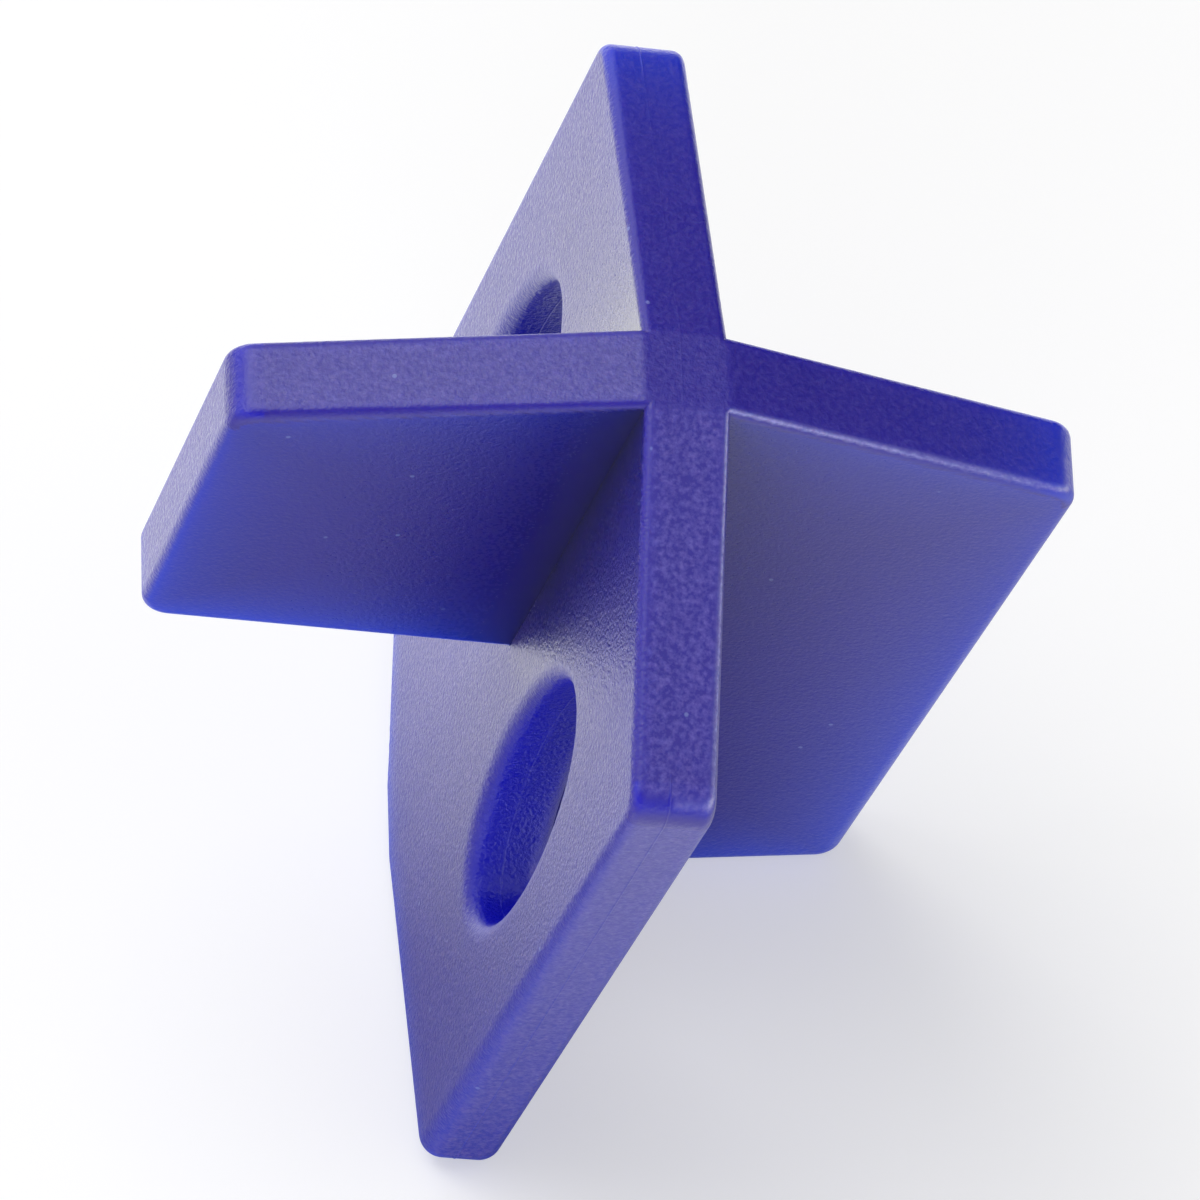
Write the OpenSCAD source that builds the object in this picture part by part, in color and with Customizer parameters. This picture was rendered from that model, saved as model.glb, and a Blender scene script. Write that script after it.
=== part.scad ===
// Double-ended tile spacer, moulded in one piece: a plate crossed by two wings.
// One end is a plus of four arms, for a joint where four tiles meet. At the other end
// the short wing stops halfway, which leaves a tee for tiles laid in a running bond.
// It stands as it comes to rest on a table: plus end up, leaning on two tips of the tee end.

/* [Arms] */
// Thickness of the plate and the wings, which is the width of the tile joint
joint_w = 3.2; // [2.4:0.1:6]
// Reach of every arm from the spacer's axis
arm_reach = 16; // [14:0.5:30]
// Length of an arm's outer edge, measured along the axis
arm_edge = 32; // [26:0.5:60]
// Length of the short wing's outer edge, from the plus end down
short_edge = 16; // [8:0.5:20]
// Slope of the arms towards the flat nose of the plus end, in degrees
plus_slope = 15; // [8:0.5:25]
// Slope of the arms towards the flat nose of the tee end, in degrees
tee_slope = 13; // [8:0.5:22]

/* [Pull holes] */
// Length of the oval hole in each half of the plate, along the axis
hole_l = 16; // [10:0.5:20]
// Width of the oval hole
hole_w = 6.6; // [4:0.2:8]
// Distance of the oval's long centre line from the spacer's axis
hole_offset = 8.4; // [7:0.1:10]
// Height of the oval's centre above the middle of the arm's outer edge
hole_rise = 0.6; // [-2:0.1:2]

/* [Moulded edges] */
// Radius of the long edges at the noses
edge_r = 0.3; // [0.2:0.05:0.5]
// Radius to which the long edges widen at the outer corners of the plus end
plus_tip_r = 0.45; // [0.3:0.05:0.85]
// Radius to which the long edges widen at the outer corners of the tee end
tee_tip_r = 0.9; // [0.3:0.05:0.9]
// Radius of the outline's corners, seen square on to the plate or a wing
corner_r = 1.2; // [0.9:0.1:2]
// Radius of the rounded rim of a pull hole
rim_r = 0.7; // [0.3:0.05:0.8]
// Radius of the fillet where a wing leaves the plate
root_r = 0.25; // [0.2:0.05:0.8]
// Height by which the plate's noses stand proud of the wings' noses
nose_step = 0.05; // [0.03:0.01:0.1]

/* [Hidden] */
$fn = 24;
// Steps round a pull hole, and over its rim
oval_steps = 48;
rim_steps = 4;

half = joint_w / 2;
tee_rise = (arm_reach - half) * tan(tee_slope);
plus_fall = (arm_reach - half) * tan(plus_slope);
edge_top = tee_rise + arm_edge;
length = edge_top + plus_fall;
short_low = edge_top - short_edge;
// The wings start inside the plate, and their flat noses end where the slopes pass below the step
wing_start = half - corner_r;
tee_flat = half + nose_step / tan(tee_slope);
plus_flat = half + nose_step / tan(plus_slope);
hole_level = tee_rise + arm_edge / 2 + hole_rise;
// A fillet or rim meets its flat at a slight angle, as a moulded edge does
meet = 12;
// The fillets stop short of the noses, below their rounded edges
root_end = edge_r + root_r / 2;
// How far a cutting shape stands past the face that it cuts
cut_past = joint_w / 4;

// Outlines, anticlockwise: across the spacer first, then up the axis from the tee nose
plate_outline = [
    [-half, 0], [half, 0], [arm_reach, tee_rise], [arm_reach, edge_top],
    [half, length], [-half, length], [-arm_reach, edge_top], [-arm_reach, tee_rise]
];
long_wing_outline = [
    [wing_start, nose_step], [tee_flat, nose_step], [arm_reach, tee_rise], [arm_reach, edge_top],
    [plus_flat, length - nose_step], [wing_start, length - nose_step]
];
short_wing_outline = [
    [-arm_reach, short_low], [-wing_start, short_low], [-wing_start, length - nose_step],
    [-plus_flat, length - nose_step], [-arm_reach, edge_top]
];

function unit(v) = v / norm(v);
function inward(side) = unit([-side[1], side[0]]);
// Centre of the arc that rounds corner i of an outline
function arc_centre(pts, i) =
    let (n = len(pts), a = inward(pts[i] - pts[(i + n - 1) % n]), b = inward(pts[(i + 1) % n] - pts[i]))
    pts[i] + (a + b) * corner_r / (1 + a * b);
// Radius of the long edges at a corner of an outline
function long_edge_r(corner) =
    abs(corner[0]) < arm_reach ? edge_r : corner[1] == tee_rise ? tee_tip_r : plus_tip_r;

// The spacer rests on its tee nose and on the tee tips of the long wing and of one half of the plate.
// The table's normal leans as far along the one as along the other, and the steps home in on how far.
tee_run = arc_centre(plate_outline, 2) - arc_centre(plate_outline, 1);
function table_lean(w, steps) = steps == 0 ? w : table_lean(
    (tee_run[1] * sqrt(1 - 2 * w * w) + (tee_tip_r - edge_r) * (sqrt(1 - w * w) + w - 1)) / tee_run[0], steps - 1);
lean_steps = 12;
lean = asin(sqrt(2) * table_lean(0, lean_steps));
lean_axis = [1, 1, 0];
// A direction of the standing spacer, seen in the frame of its upright axis
function upright(v) =
    let (k = unit(lean_axis)) v * cos(lean) - cross(k, v) * sin(lean) + k * (k * v) * (1 - cos(lean));
// How far a rounded slab reaches along a direction, given across its thickness, its width and its height
function slab_reach(pts, across, wide, high) =
    max([for (i = [0 : len(pts) - 1]) let (r = long_edge_r(pts[i]))
        arc_centre(pts, i) * [wide, high] + (corner_r - r) * norm([wide, high]) + (half - r) * abs(across) + r]);
function reach_along(v) =
    let (d = upright(v))
    max(
        slab_reach(plate_outline, d[0], d[1], d[2]),
        slab_reach(long_wing_outline, d[1], d[0], d[2]),
        slab_reach(short_wing_outline, d[1], d[0], d[2])
    );
function middle(v) = (reach_along(v) - reach_along(-v)) / 2;
// The origin is on the table, under the middle of the spacer
stand = [-middle([1, 0, 0]), -middle([0, 1, 0]), reach_along([0, 0, -1])];

// Section of a slab's border: square towards the slab, with its two outer edges rounded
module border_section(r) {
    translate([0, r - half]) square([corner_r, joint_w - 2 * r]);
    translate([0, -half]) square([corner_r - r, joint_w]);
    for (side = [-1, 1]) translate([corner_r - r, side * (half - r)])
        intersection() {
            circle(r);
            translate([0, -r]) square([r, 2 * r]);
        }
}

// A flat slab with rounded corners and edges, stretched over a rounded disc at each corner
module slab(pts) {
    hull() for (i = [0 : len(pts) - 1])
        translate(arc_centre(pts, i)) rotate_extrude() border_section(long_edge_r(pts[i]));
}

// Section of the fillet in the corner between two walls, which lie along both axes
module root_section() {
    difference() {
        translate([-root_r, -root_r] / 2) square(1.5 * root_r);
        translate([root_r, root_r] * cos(meet)) circle(root_r);
    }
}

// One pull hole as a solid to cut away: oval rings that spread to a rounded rim at both faces
function rim_spread(z) =
    let (in = max(abs(z) - half + rim_r, 0)) rim_r - sqrt(max(rim_r * rim_r - in * in, 0));
module hole() {
    heights = concat(
        [-half - cut_past],
        [for (a = [0 : rim_steps]) -half + rim_r - rim_r * cos(90 * a / rim_steps)],
        [for (a = [rim_steps : -1 : 0]) half - rim_r + rim_r * cos(90 * a / rim_steps)],
        [half + cut_past]
    );
    rings = [for (z = heights) abs(z) > half ? rim_r : rim_spread(z)];
    n = oval_steps;
    polyhedron(
        points = [for (k = [0 : len(heights) - 1], i = [0 : n - 1])
            [(hole_w / 2 + rings[k]) * cos(360 * i / n), (hole_l / 2 + rings[k]) * sin(360 * i / n), heights[k]]],
        faces = concat(
            [[for (i = [0 : n - 1]) i]],
            [for (k = [0 : len(heights) - 2], i = [0 : n - 1])
                [k * n + i, (k + 1) * n + i, (k + 1) * n + (i + 1) % n, k * n + (i + 1) % n]],
            [[for (i = [n - 1 : -1 : 0]) (len(heights) - 1) * n + i]]
        )
    );
}

// The fillets run up the four corners between wings and plate, and under the short wing's end
module roots() {
    for (side = [-1, 1]) {
        translate([half, side * half, root_end])
            mirror([0, side < 0 ? 1 : 0, 0]) linear_extrude(length - 2 * root_end) root_section();
        translate([-half, side * half, short_low + edge_r])
            mirror([1, 0, 0]) mirror([0, side < 0 ? 1 : 0, 0])
                linear_extrude(length - root_end - short_low - edge_r) root_section();
    }
    translate([-half, 0, short_low]) rotate([90, 0, 0]) rotate(180)
        linear_extrude(joint_w - 2 * edge_r, center = true) root_section();
}

// The whole spacer, standing on the table
module spacer() {
    color("#3b35b4") translate(stand) rotate(a = lean, v = lean_axis) {
        difference() {
            rotate([90, 0, 90]) slab(plate_outline);
            for (side = [-1, 1])
                rotate([90, 0, 90]) translate([side * hole_offset, hole_level]) hole();
        }
        rotate([90, 0, 0]) slab(long_wing_outline);
        rotate([90, 0, 0]) slab(short_wing_outline);
        roots();
    }
}

spacer();
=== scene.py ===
from math import asin, radians, sqrt, tan

import bpy
import numpy as np
from mathutils import Matrix, Vector


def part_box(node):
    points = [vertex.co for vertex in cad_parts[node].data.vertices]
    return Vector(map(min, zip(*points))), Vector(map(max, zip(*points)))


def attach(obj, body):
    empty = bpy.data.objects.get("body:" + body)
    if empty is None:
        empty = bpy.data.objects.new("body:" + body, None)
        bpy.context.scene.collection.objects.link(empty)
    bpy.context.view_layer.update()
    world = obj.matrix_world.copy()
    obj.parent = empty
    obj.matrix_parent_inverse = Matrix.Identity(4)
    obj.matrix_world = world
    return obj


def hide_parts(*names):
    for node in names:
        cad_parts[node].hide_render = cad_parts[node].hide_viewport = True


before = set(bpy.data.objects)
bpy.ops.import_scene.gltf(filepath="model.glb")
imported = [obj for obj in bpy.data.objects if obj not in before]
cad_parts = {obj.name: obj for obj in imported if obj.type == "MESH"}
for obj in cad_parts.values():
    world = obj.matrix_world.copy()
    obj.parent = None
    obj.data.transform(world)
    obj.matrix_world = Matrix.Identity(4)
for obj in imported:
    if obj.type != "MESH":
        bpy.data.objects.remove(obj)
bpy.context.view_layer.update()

# The spacer
# One injection moulding in violet-blue polypropylene: a plate crossed by a long and a short wing, with an
# oval pull hole in each half of the plate. The edges are rounded, the roots crisp, and a fine line of
# flash shows where the mould halves met, along the plate's outer edges and inside its holes.

# Sizes in mm, in the spacer's own frame: its axis is z, the plate lies in y and z, the wings reach along x.
# To the camera x points right and y up, so the short wing is the left one and -y is the lower arm.
MM = 0.001
joint_w = 3.2
arm_reach = 16.0
arm_edge = 32.0
short_edge = 16.0
plus_slope = tan(radians(15))
tee_slope = tan(radians(13))
hole_half_l, hole_half_w = 8.0, 3.3
hole_offset, hole_rise = 8.4, 0.6
edge_r, plus_tip_r, tee_tip_r = 0.3, 0.45, 0.9
corner_r, rim_r = 1.2, 0.7
parting_x = -0.2
flash_h, flash_w = 0.022, 0.05
flash_fade, faint_flash = 2.0, 0.15

half = joint_w / 2
tee_rise = (arm_reach - half) * tee_slope
edge_top = tee_rise + arm_edge
length = edge_top + (arm_reach - half) * plus_slope
short_low = edge_top - short_edge
hole_level = tee_rise + arm_edge / 2 + hole_rise
arm_corners = [
    (-half, 0), (half, 0), (arm_reach, tee_rise), (arm_reach, edge_top),
    (half, length), (-half, length), (-arm_reach, edge_top), (-arm_reach, tee_rise)]
short_corners = [
    (-arm_reach, short_low), (arm_reach, short_low), (arm_reach, edge_top),
    (half, length), (-half, length), (-arm_reach, edge_top)]


def arc_centres(corners):
    """Centres of the arcs that round an outline's corners: each corner moved inwards along the two
    normals that meet there, until it lies one corner radius from both sides."""
    a = np.array(corners, float)
    way = np.roll(a, -1, axis=0) - a
    way /= np.linalg.norm(way, axis=1)[:, None]
    inward = np.stack([-way[:, 1], way[:, 0]], 1)
    both = inward + np.roll(inward, 1, axis=0)
    return a + both * corner_r * 2 / (both * both).sum(1)[:, None]


def outline_distance(corners, s, z):
    """Signed distance to a convex outline with rounded corners: the distance to the nearest side of the
    outline through the arcs' centres, less the corner radius."""
    near = far = None
    a = arc_centres(corners)
    for p, q in zip(a, np.roll(a, -1, axis=0)):
        run = np.linalg.norm(q - p)
        d = (q - p) / run
        u, v = s - p[0], z - p[1]
        along = np.clip(u * d[0] + v * d[1], 0, run)
        gap = np.hypot(u - along * d[0], v - along * d[1])
        side = u * d[1] - v * d[0]
        near = gap if near is None else np.minimum(near, gap)
        far = side if far is None else np.maximum(far, side)
    return np.where(far > 0, near, -near) - corner_r


def hole_distance(y, z):
    """Distance to the oval of a pull hole: how far the ellipse's equation is from one, over its slope. The
    slope is kept from vanishing at the oval's middle."""
    tiny = 1e-9
    u, v = (np.abs(y) - hole_offset) / hole_half_w, (z - hole_level) / hole_half_l
    g = np.hypot(u, v) + tiny
    return (g - 1) / np.maximum(np.hypot(u / hole_half_w, v / hole_half_l) / g, 1 / hole_half_l)


def long_edge_r(s, z):
    """Radius of the long edges: it grows in a straight line from the noses to the outer corners, and
    along an outer edge from the plus end's corner to the tee end's."""
    out = np.clip((np.abs(s) - half) / (arm_reach - half), 0, 1)
    up = np.clip((z - tee_rise) / arm_edge, 0, 1)
    return edge_r + out * (tee_tip_r + (plus_tip_r - tee_tip_r) * up - edge_r)


def rounded(a, b, r):
    """Signed distance to what lies inside both a and b, with its edge rounded: both are moved in by the
    radius r, and outside both the distance to their corner is taken, less that radius."""
    u, v = a + r, b + r
    return np.minimum(np.maximum(u, v), 0) + np.hypot(np.maximum(u, 0), np.maximum(v, 0)) - r


def moulding(x, y, z):
    """Signed distance to the spacer about its own axis, with the tee nose at 0 and the plus end up: in each
    quarter round the axis the outline of the arm there is joined to its walls by rounded edges."""
    flash = flash_h * np.maximum(1 - np.abs(x - parting_x) / flash_w, 0)
    shown = np.clip(np.abs(y) - arm_reach + flash_fade, faint_flash, 1)
    border = outline_distance(arm_corners, y, z) - flash * shown
    hole = -hole_distance(y, z) - flash
    plate, plate_r = np.maximum(border, hole), np.where(hole > border, rim_r, long_edge_r(y, z))
    sides, wing_sides = np.abs(x) - half, np.abs(y) - half

    in_wing = x > np.abs(y)
    tee = rounded(
        np.where(in_wing, outline_distance(arm_corners, x, z), plate),
        np.minimum(sides, np.maximum(wing_sides, -x)),
        np.where(in_wing, long_edge_r(x, z), plate_r))

    in_wing = -x > np.abs(y)
    short = outline_distance(short_corners, x, z)
    left = rounded(
        np.where(in_wing, short, np.maximum(short, plate)),
        np.minimum(sides, np.maximum(wing_sides, x)),
        np.where(in_wing, long_edge_r(x, edge_top), plate_r))
    return np.minimum(tee, left)


def spaced(*stops):
    """Grid planes from stop to stop, each stretch at the pitch that its first stop gives."""
    runs = [np.linspace(a, b, max(round((b - a) / pitch), 1), endpoint=False)
            for (a, pitch), (b, _) in zip(stops, stops[1:])]
    return np.concatenate(runs)


# The grid is fine at the walls, tips and roundings, finest at the flash, and wide on the flat faces
fine, medium, wide = 0.1, 0.25, 0.6
past = 0.3
band_in, band_out = 0.5, 0.7
tip_in, tip_out = arm_reach - corner_r - past, arm_reach + past
wall_in, wall_out = half - band_in, half + band_out
ring_w, ring_l = hole_half_w + rim_r + past, hole_half_l + rim_r + past
across = [(wall_in, fine), (wall_out, wide)]
tip = [(tip_in, fine), (tip_out, fine)]
x_planes = spaced(
    (-tip_out, fine), (-tip_in, wide), (-wall_out, fine), (-wall_in, medium),
    (parting_x - 2 * flash_w, flash_w / 2), (parting_x + 2 * flash_w, medium), *across, *tip)
y_half = spaced((0, medium), *across, (hole_offset - ring_w, medium), (hole_offset + ring_w, wide), *tip)
z_planes = spaced(
    (-past, fine), (tee_rise + corner_r, wide), (hole_level - ring_l, medium), (short_low - past, fine),
    (short_low + corner_r + past, medium), (hole_level + ring_l, wide), (edge_top - corner_r, fine),
    (length + past, fine))
grid = [x_planes, np.concatenate([-y_half[:0:-1], y_half]), z_planes]


def level_surface(distance, grid):
    """Faces where the distance is zero: each grid edge that it crosses gets a four-sided face between
    the four cells round that edge, and each cell's vertex is the mean of its edges' crossings."""
    values = distance(*np.meshgrid(*grid, indexing="ij", sparse=True))
    cells = np.array(values.shape) - 1
    ids, points = [], []
    for axis in range(3):
        b, c = (axis + 1) % 3, (axis + 2) % 3
        low = np.take(values, np.arange(cells[axis]), axis)
        high = np.take(values, np.arange(1, cells[axis] + 1), axis)
        at = np.argwhere((low < 0) != (high < 0))
        lo, hi = low[tuple(at.T)], high[tuple(at.T)]
        crossing = np.stack([grid[d][at[:, d]] for d in range(3)], 1)
        crossing[:, axis] += lo / (lo - hi) * np.diff(grid[axis])[at[:, axis]]
        corner = np.repeat(at[:, None], 4, axis=1)
        corner[:, (0, 3), b] -= 1
        corner[:, (0, 1), c] -= 1
        corner[hi < 0] = corner[hi < 0, ::-1]
        ids.append(np.ravel_multi_index(corner.reshape(-1, 3).T, cells))
        points.append(np.repeat(crossing, 4, axis=0))
    _, vertex = np.unique(np.concatenate(ids), return_inverse=True)
    total = [np.bincount(vertex, weights=p) for p in np.concatenate(points).T]
    return np.stack(total, 1) / np.bincount(vertex)[:, None], vertex.reshape(-1, 4)


def slope_of(distance, p, step=0.01):
    """Unit direction in which the distance grows fastest, by differences along the three axes."""
    shifts = np.eye(3) * step
    g = np.stack([distance(*(p + d).T) - distance(*(p - d).T) for d in shifts], 1)
    return g / np.linalg.norm(g, axis=1)[:, None]


def bend_of(distance, p, step=0.1):
    """How sharply the surface bends, per mm: the sum of the distance's second differences. It is one over
    the radius on a rounded edge, and below zero in a crease."""
    shifts = np.eye(3) * step
    here = 2 * distance(*p.T)
    return sum(distance(*(p + d).T) + distance(*(p - d).T) - here for d in shifts) / step ** 2


settling_steps = 3
crease_bend = -1.0
points, faces = level_surface(moulding, grid)
for _ in range(settling_steps):
    points -= moulding(*points.T)[:, None] * slope_of(moulding, points)
normals = slope_of(moulding, points)
bend = bend_of(moulding, points)
creased = bend < crease_bend


def squarely(n):
    """How squarely a surface faces a way, from its normal's share n that way: 0 up to a half, then in a
    straight line to 1."""
    return np.clip(n * 2 - 1, 0, 1)


# Marks for the material, worked out for each point. First comes where it lies: on the plate or a wing, how
# many mm from the free edges, holes, roots and rear borders, and on which face. The front is the plus end
# and the rear is the tee end.
x, y, z = points.T
nx, ny, nz = normals.T
face_turn = 3
foot_run = 6.0
reach = np.maximum(np.abs(x), np.abs(y))
lower_arm = y < -half
at_tip = reach > arm_reach - corner_r
below_short = (z < short_low) & (x < 0) & (x > -half - edge_r)
on_plate = (np.abs(y) > np.abs(x)) | below_short
wing_border = np.where(x > 0, outline_distance(arm_corners, x, z), outline_distance(short_corners, x, z))
from_edge = np.maximum(-np.where(on_plate, outline_distance(arm_corners, y, z), wing_border), 0)
from_hole = np.where(on_plate, np.maximum(hole_distance(y, z), 0), arm_reach)
from_root = np.maximum(reach - half, 0)
from_rear = np.maximum(z - np.where(on_plate | (x > 0), from_root * tee_slope, short_low), 0)
past_foot = np.where(on_plate & (x < 0), np.clip((z - short_low) / foot_run, 0, 1), 1)
rear = np.clip((edge_top - z) / arm_edge, 0, 1)
front = np.clip(nz * face_turn, 0, 1) * (from_hole > rim_r)
wall = 1 - np.clip(np.abs(nz) * face_turn, 0, 1)
left_face = squarely(-nx) * (from_hole > 0)
outer_end = squarely(np.abs(np.where(on_plate, ny, nx))) * at_tip

# A painted glow stands for the blue light that comes through the sides near their free edges, most of all at
# the tee end, and less on the left faces, the outer ends and the lower arm. On the fronts it shows only
# towards the upper and right tips.
glow_depth, rear_depth, rim_depth = 2.5, 2.0, 0.9
plus_glow, tip_glow, lower_glow = 0.35, 0.6, 0.65
left_loss, end_loss, lower_end_loss = 0.8, 0.5, 0.6
side_glow = np.exp(-from_edge / glow_depth) * (plus_glow + (1 - plus_glow) * rear)
side_glow *= 1 - left_loss * left_face
side_glow *= 1 - np.where(lower_arm, lower_end_loss, end_loss) * outer_end * wall
side_glow *= np.where(on_plate & lower_arm, lower_glow, 1)
rear_glow = np.exp(-from_rear / rear_depth) * (1 - left_face) * (1 - outer_end)
rim_glow = np.exp(-from_rear / rim_depth) * left_face
front_glow = tip_glow * np.exp((reach - arm_reach) / glow_depth) * (x + y > half) * front
painted_glow = np.where(front > 0, front_glow, np.maximum(np.maximum(side_glow, rear_glow), rim_glow))

# The holes and the rolled tips are painted a deeper blue, a painted glow of light through the plastic. The
# roots get painted shade, dark most of all on the left, and on the plate's left face that begins at the foot
# of the short wing.
hole_depth, root_depth = 0.35, 3.5
roll_turn, roll_spread, roll_share = 0.72, 0.2, 0.6
right_root = 0.5
rolled = roll_share * np.exp(-((nz - roll_turn) / roll_spread) ** 2) * at_tip
# Painted glow: a deeper blue in the holes and on the rolled tips
hollow = np.maximum(np.exp(-from_hole / hole_depth), rolled)
# Painted shade in the creases at the roots, half as dark on the right
root = np.exp(-from_root / root_depth) * wall * past_foot * np.where(x < 0, 1, right_root)

# Painted specks of sheen sit on the flat fronts, most on the lower arm, on the left faces and on the lower
# arm's outer end. The front edges between the lower arm and the right wing get a painted pale highlight. The
# grain is deepest on the left faces and in the holes.
flat_from, flat_rise = 0.86, 12
lower_specks, left_specks, other_specks = 1.6, 0.9, 0.6
side_specks, low_side_specks = 0.7, 0.5
highlight_turn, highlight_spread = 0.8, 0.1
plain_grain, hole_grain = 0.3, 0.9
edge_rounding = np.clip(bend * edge_r, 0, 1)
flat_front = front * np.clip((nz - flat_from) * flat_rise, 0, 1) * (1 - edge_rounding)
painted_sheen_specks = flat_front * np.where(lower_arm, lower_specks, np.where(x < -half, left_specks, other_specks))
painted_sheen_specks += side_specks * left_face * (1 - root)
painted_sheen_specks += lower_arm * (outer_end * wall * (1 + rear) + low_side_specks * left_face * rear)
# Painted highlight: a pale line on the front edges between the lower arm and the right wing
painted_edge_highlight = np.exp(-((nz - highlight_turn) / highlight_spread) ** 2) * edge_rounding * ((x > 0) & (y < 0))
coarse = np.maximum((plain_grain + (1 - plain_grain) * left_face) * (1 - root), hole_grain * hollow)

# It rests on its tee nose and on the tee tips of the long wing and of one half of the plate. The table's
# normal leans as far along the one as along the other, and the steps home in on how far. Then the spacer is
# set in the frame's box.
tee_run = np.diff(arc_centres(arm_corners)[1:3], axis=0)[0]
lean_steps = 12
leaned = 0.0
for _ in range(lean_steps):
    bulge = (tee_tip_r - edge_r) * (sqrt(1 - leaned ** 2) + leaned - 1)
    leaned = (tee_run[1] * sqrt(1 - 2 * leaned ** 2) + bulge) / tee_run[0]
lean = np.array(Matrix.Rotation(asin(sqrt(2) * leaned), 3, Vector((1, 1, 0))))
points, normals = points @ lean.T * MM, normals @ lean.T
low, high = (np.array(corner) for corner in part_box("spacer"))
shift = (low + high - points.min(0) - points.max(0)) / 2
shift[2] = low[2] - points[:, 2].min()
points += shift

# Shading is smooth over the roundings, and each face keeps its own normal in a crease
mesh = bpy.data.meshes.new("tile_spacer")
mesh.from_pydata(points.tolist(), [], faces.tolist())
mesh.polygons.foreach_set("use_smooth", np.ones(len(faces), bool))
diagonals = points[faces[:, 2:]] - points[faces[:, :2]]
face_normals = np.cross(diagonals[:, 0], diagonals[:, 1])
face_normals /= np.linalg.norm(face_normals, axis=1)[:, None]
corner_normals = np.where(creased[faces][..., None], face_normals[:, None], normals[faces])
mesh.normals_split_custom_set(corner_normals.reshape(-1, 3).tolist())
marks = {"edge": edge_rounding, "painted_glow": painted_glow, "hollow": hollow, "root": root,
         "painted_sheen_specks": painted_sheen_specks, "painted_edge_highlight": painted_edge_highlight, "coarse": coarse}
for name, values in marks.items():
    mesh.attributes.new(name, "FLOAT", "POINT").data.foreach_set("value", values)
spacer = bpy.data.objects.new("tile_spacer", mesh)
bpy.context.collection.objects.link(spacer)


def linear(hex_colour):
    """An sRGB hex colour as linear RGBA: each channel through the inverse of the sRGB curve."""
    c = np.array([int(hex_colour[i:i + 2], 16) for i in (1, 3, 5)]) / 255
    c = np.where(c <= 0.04045, c / 12.92, ((c + 0.055) / 1.055) ** 2.4)
    return (*c.tolist(), 1.0)


def add(material, kind, settings=None, links=None):
    """Adds a node to a material or a world, sets its properties and inputs, and links its inputs."""
    n = material.node_tree.nodes.new(kind)
    for key, value in (settings or {}).items():
        if isinstance(key, str) and hasattr(n, key):
            setattr(n, key, value)
        else:
            n.inputs[key].default_value = value
    for key, source in (links or {}).items():
        material.node_tree.links.new(source, n.inputs[key])
    return n


# Moulded polypropylene from a spark-eroded mould: a satin skin whose fine grain breaks the sheen into specks,
# with pale specks of sheen painted in as well, over a deep violet-blue plastic that lets blue light through
# where it is thin, at the edges and the holes, partly scattered under the surface and partly a painted glow.
# Grain and mottle stand for one texture of about 0.1 mm, drawn coarser so that it shows. Clouds are the
# plastic's slight unevenness, and dust lies here and there in motes.
grain_mm, mottle_mm, cloud_mm, dust_mm = 0.15, 0.22, 5.0, 2.2
grain_depth_mm, scatter_mm = 0.07, 2.0
plastic = bpy.data.materials.new("violet_blue_polypropylene")
plastic.use_nodes = True
plastic.node_tree.nodes.clear()
place = add(plastic, "ShaderNodeTexCoord").outputs["Object"]
grain = add(plastic, "ShaderNodeTexNoise", {"Scale": 1 / (grain_mm * MM), "Detail": 2.0, "Roughness": 0.55},
            {"Vector": place}).outputs["Fac"]
mottle = add(plastic, "ShaderNodeTexNoise", {"Scale": 1 / (mottle_mm * MM), "Detail": 3.0, "Roughness": 0.6},
             {"Vector": place}).outputs["Fac"]
cloud = add(plastic, "ShaderNodeTexNoise", {"Scale": 1 / (cloud_mm * MM), "Detail": 2.0},
            {"Vector": place}).outputs["Fac"]
dust = add(plastic, "ShaderNodeTexVoronoi", {"Scale": 1 / (dust_mm * MM)},
           {"Vector": place}).outputs["Distance"]
mark = {name: add(plastic, "ShaderNodeAttribute", {"attribute_name": name}).outputs["Fac"] for name in marks}

# A Mix node's numbers and colours share their names, so its sockets go by their places
mix_share, number_a, number_b, colour_a, colour_b, mixed_colour = 0, 2, 3, 6, 7, 2
violet, lighter_violet = "#281A92", "#30219E"
highlight_gain = 2.0
colour = add(plastic, "ShaderNodeMix", {
    "data_type": "RGBA", colour_a: linear(violet), colour_b: linear(lighter_violet)}, {mix_share: cloud})
spots = add(plastic, "ShaderNodeMapRange", {"From Min": 0.4, "From Max": 0.72, "To Max": 0.5},
            {"Value": mottle})
specks = add(plastic, "ShaderNodeMath", {"operation": "MULTIPLY"}, {0: spots.outputs[0], 1: mark["painted_sheen_specks"]})
patchy = add(plastic, "ShaderNodeMath", {"operation": "MULTIPLY", 1: highlight_gain}, {0: mottle})
# Painted highlight along those front edges, patchy with the mottle
painted_highlight = add(plastic, "ShaderNodeMath", {"operation": "MULTIPLY"}, {0: mark["painted_edge_highlight"], 1: patchy.outputs[0]})
motes = add(plastic, "ShaderNodeMapRange", {"From Min": 0.05, "From Max": 0.03, "To Max": 0.35},
            {"Value": dust})
# Layers on the colour: a painted glow at thin edges, a painted deeper blue in the holes, painted shade at the
# roots, painted specks of sheen, a painted pale highlight on the lower right front edges, and real dust
# motes.
layers = []
for tint, name, most in (("#1A4EF4", "painted_glow", 0.95), ("#1014C4", "hollow", 0.9), ("#0A0858", "root", 0.9)):
    layer = add(plastic, "ShaderNodeMath", {"operation": "MULTIPLY", 1: most}, {0: mark[name]})
    layers.append((tint, layer))
layers += [("#6A60BC", specks), ("#A6A2DC", painted_highlight), ("#A0B4E8", motes)]
for tint, layer in layers:
    colour = add(plastic, "ShaderNodeMix", {"data_type": "RGBA", colour_b: linear(tint)},
                 {mix_share: layer.outputs[0], colour_a: colour.outputs[mixed_colour]})
gloss = add(plastic, "ShaderNodeMapRange", {"From Min": 0.3, "From Max": 0.7, "To Min": 0.28, "To Max": 0.44},
            {"Value": grain})
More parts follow.
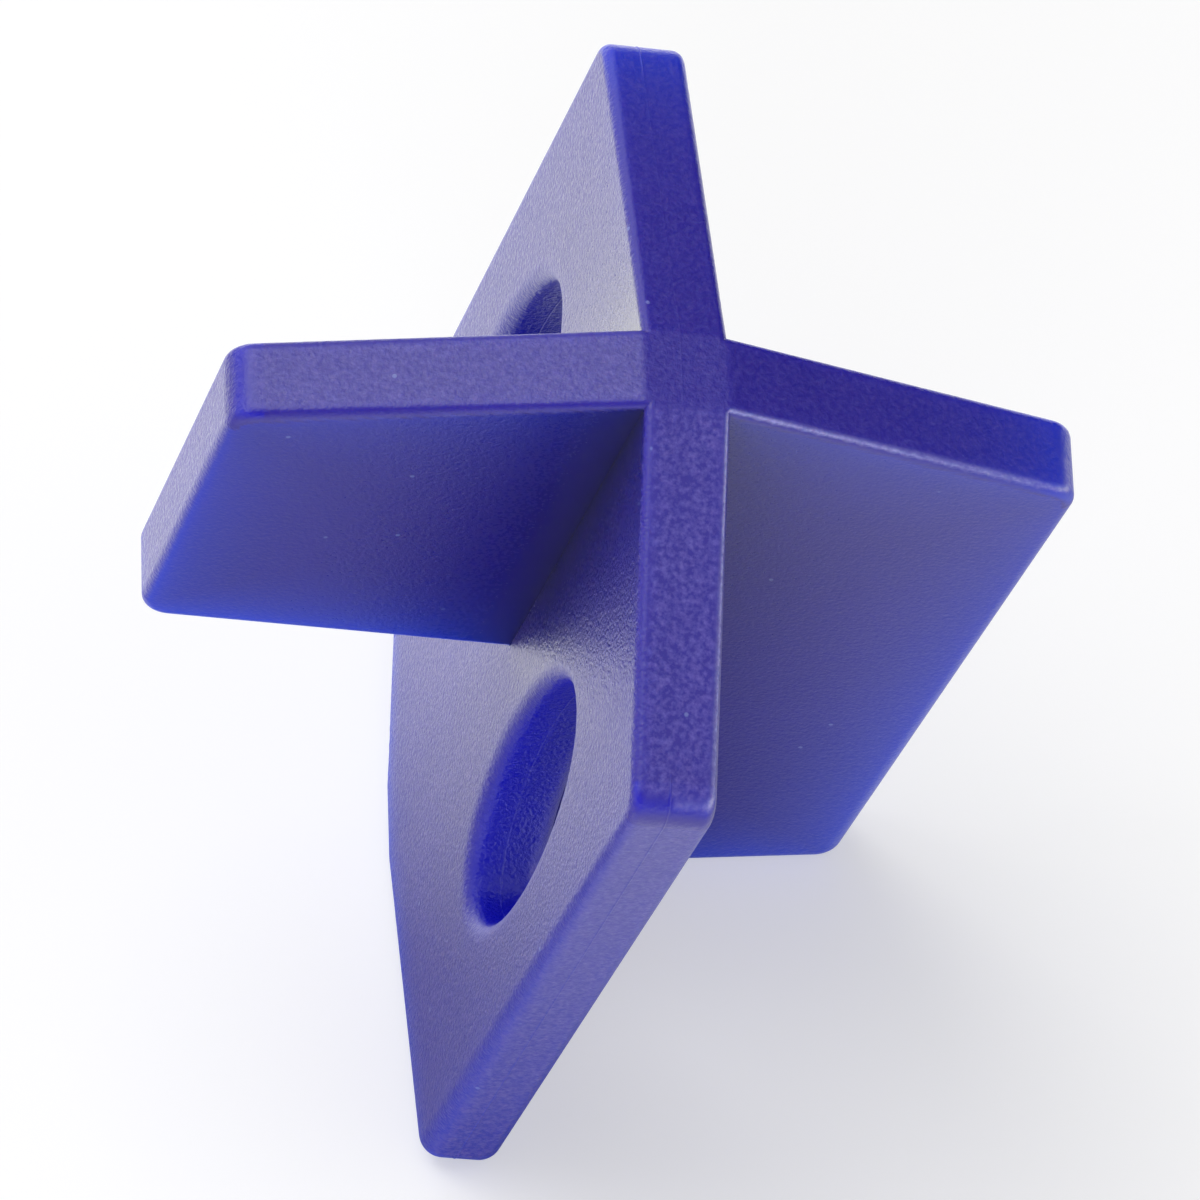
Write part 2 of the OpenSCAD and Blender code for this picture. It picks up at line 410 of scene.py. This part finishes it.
for name, roughness in (("edge", 0.38), ("hollow", 0.3), ("root", 0.2)):
    gloss = add(plastic, "ShaderNodeMix", {number_b: roughness},
                {mix_share: mark[name], number_a: gloss.outputs[0]})
height = add(plastic, "ShaderNodeMath", {"operation": "ADD"}, {0: grain, 1: mottle})
bump = add(plastic, "ShaderNodeBump", {"Distance": grain_depth_mm * MM},
           {"Height": height.outputs[0], "Strength": mark["coarse"]})
skin = add(
    plastic, "ShaderNodeBsdfPrincipled",
    {"IOR": 1.49, "Subsurface Weight": 0.8, "Subsurface Radius": (0.12, 0.4, 1.0),
     "Subsurface Scale": scatter_mm * MM},
    {"Base Color": colour.outputs[mixed_colour], "Roughness": gloss.outputs[0],
     "Normal": bump.outputs["Normal"]})
add(plastic, "ShaderNodeOutputMaterial", {}, {"Surface": skin.outputs["BSDF"]})
mesh.materials.append(plastic)
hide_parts("spacer")
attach(spacer, "root")

# The table
# A pale matt table top of paper. It keeps the spacer's soft shadow, and a little light of its own, which only
# the camera sees, takes it to white elsewhere.
table_half = 2.0
square = ((-1, -1), (1, -1), (1, 1), (-1, 1))
table_mesh = bpy.data.meshes.new("table")
table_mesh.from_pydata([(u * table_half, v * table_half, 0) for u, v in square], [], [(0, 1, 2, 3)])
table = bpy.data.objects.new("table", table_mesh)
bpy.context.collection.objects.link(table)

# In mirror-like surfaces the table is dim in a strip through the spacer, and brighter away from the strip and
# towards the right. That puts the pale sheen on the plate's left side.
camera_light = 0.45
strip_across = (-0.34, 0.94, 0)
strip_shift, strip_half, strip_end, strip_light = 4 * MM, 6 * MM, 27 * MM, 1.55
right_end, right_light = 12 * MM, 0.55
paper = bpy.data.materials.new("matt_white_paper")
paper.use_nodes = True
paper.node_tree.nodes.clear()
ray = add(paper, "ShaderNodeLightPath")
mirror = add(paper, "ShaderNodeMath", {"operation": "MAXIMUM"},
             {0: ray.outputs["Is Glossy Ray"], 1: ray.outputs["Is Transmission Ray"]})
to_camera = add(paper, "ShaderNodeMath", {"operation": "MULTIPLY", 1: camera_light},
                {0: ray.outputs["Is Camera Ray"]})
spot = add(paper, "ShaderNodeTexCoord").outputs["Object"]
ahead = add(paper, "ShaderNodeVectorMath", {"operation": "DOT_PRODUCT", 1: strip_across}, {0: spot})
shifted = add(paper, "ShaderNodeMath", {"operation": "ADD", 1: strip_shift}, {0: ahead.outputs["Value"]})
off_strip = add(paper, "ShaderNodeMath", {"operation": "ABSOLUTE"}, {0: shifted.outputs[0]})
behind = add(
    paper, "ShaderNodeMapRange", {"From Min": strip_half, "From Max": strip_end, "To Max": strip_light},
    {"Value": off_strip.outputs[0]})
sideways = add(paper, "ShaderNodeSeparateXYZ", {}, {0: spot})
right = add(paper, "ShaderNodeMapRange", {"From Min": 0, "From Max": right_end, "To Max": right_light},
            {"Value": sideways.outputs["X"]})
away = add(paper, "ShaderNodeMath", {"operation": "MAXIMUM"}, {0: behind.outputs[0], 1: right.outputs[0]})
to_mirror = add(paper, "ShaderNodeMath", {"operation": "MULTIPLY"},
                {0: away.outputs[0], 1: mirror.outputs[0]})
strength = add(paper, "ShaderNodeMath", {"operation": "ADD"},
               {0: to_camera.outputs[0], 1: to_mirror.outputs[0]})
matt = add(paper, "ShaderNodeBsdfDiffuse", {"Color": linear("#CCCCCC")})
own_light = add(paper, "ShaderNodeEmission", {}, {"Strength": strength.outputs[0]})
sheet = add(paper, "ShaderNodeAddShader", {}, {0: matt.outputs[0], 1: own_light.outputs[0]})
add(paper, "ShaderNodeOutputMaterial", {}, {"Surface": sheet.outputs[0]})
table_mesh.materials.append(paper)

# Light
# A white light tent all round, which lights things half as strongly as it looks, and three round soft boxes:
# above, behind on the left, and low in front. Two cards of dark felt, unseen by the camera, keep the sheen
# off the upper arm and the right wing, and off the edges that face the camera.
tent_light, tent_white = 0.5, 1.0
world = bpy.data.worlds.new("light_tent")
bpy.context.scene.world = world
world.use_nodes = True
world.node_tree.nodes.clear()
tent_ray = add(world, "ShaderNodeLightPath")
tent_mirror = add(world, "ShaderNodeMath", {"operation": "MAXIMUM"},
                  {0: tent_ray.outputs["Is Glossy Ray"], 1: tent_ray.outputs["Is Transmission Ray"]})
seen = add(world, "ShaderNodeMath", {"operation": "MAXIMUM"},
           {0: tent_ray.outputs["Is Camera Ray"], 1: tent_mirror.outputs[0]})
level = add(world, "ShaderNodeMapRange", {"To Min": tent_light, "To Max": tent_white},
            {"Value": seen.outputs[0]})
tent = add(world, "ShaderNodeBackground", {"Color": (1, 1, 1, 1)}, {"Strength": level.outputs[0]})
add(world, "ShaderNodeOutputWorld", {}, {"Surface": tent.outputs[0]})

middle_mm = (0, 0, 20)


def facing(at_mm):
    """Turn that points an object's -Z from its place to the spacer's middle."""
    return (Vector(middle_mm) - Vector(at_mm)).to_track_quat("-Z", "Y").to_euler()


def soft_box(name, at_mm, across_mm, watts, mirrored=True):
    """A round soft box of the given width that faces the spacer, and may be left out of its reflections."""
    lamp = bpy.data.lights.new(name, "AREA")
    lamp.shape = "DISK"
    lamp.size = across_mm * MM
    lamp.energy = watts
    box = bpy.data.objects.new(name, lamp)
    box.location = Vector(at_mm) * MM
    box.rotation_euler = facing(at_mm)
    box.visible_glossy = mirrored
    bpy.context.collection.objects.link(box)


soft_box("top_box", at_mm=(-150, 80, 600), across_mm=520, watts=1.75)
soft_box("back_box", at_mm=(-300, 380, 330), across_mm=600, watts=0.5)
soft_box("front_box", at_mm=(-120, -560, 140), across_mm=400, watts=1.2, mirrored=False)

felt = bpy.data.materials.new("dark_felt")
felt.use_nodes = True
felt.node_tree.nodes["Principled BSDF"].inputs["Base Color"].default_value = linear("#202020")
felt.node_tree.nodes["Principled BSDF"].inputs["Roughness"].default_value = 1.0
for name, at_mm, half_mm in (("right_card", (310, 290, 260), 250), ("camera_card", (-40, -400, 480), 180)):
    card_half = half_mm * MM
    card_mesh = bpy.data.meshes.new(name)
    card_mesh.from_pydata([(u * card_half, v * card_half, 0) for u, v in square], [], [(0, 1, 2, 3)])
    card_mesh.materials.append(felt)
    card = bpy.data.objects.new(name, card_mesh)
    card.location = Vector(at_mm) * MM
    card.rotation_euler = facing(at_mm)
    card.visible_camera = False
    bpy.context.collection.objects.link(card)

# Camera
# It looks down on the plus end from the photograph's angle, some 34 cm away with a long lens, and is rolled a
# little, as the photograph is.
camera_at = Vector((-18.05, -215.76, 278.76)) * MM
looks_at = Vector((0.087, -0.168, 19.866)) * MM
camera_roll = radians(1.43)
camera_data = bpy.data.cameras.new("photograph")
camera_data.sensor_width = 36
camera_data.lens = 267.6
camera_data.clip_start = 0.01
camera = bpy.data.objects.new("photograph", camera_data)
bpy.context.collection.objects.link(camera)
turn = (looks_at - camera_at).to_track_quat("-Z", "Y").to_matrix() @ Matrix.Rotation(camera_roll, 3, "Z")
camera.location = camera_at
camera.rotation_euler = turn.to_euler()
bpy.context.scene.camera = camera
bpy.context.scene.view_settings.view_transform = "Standard"
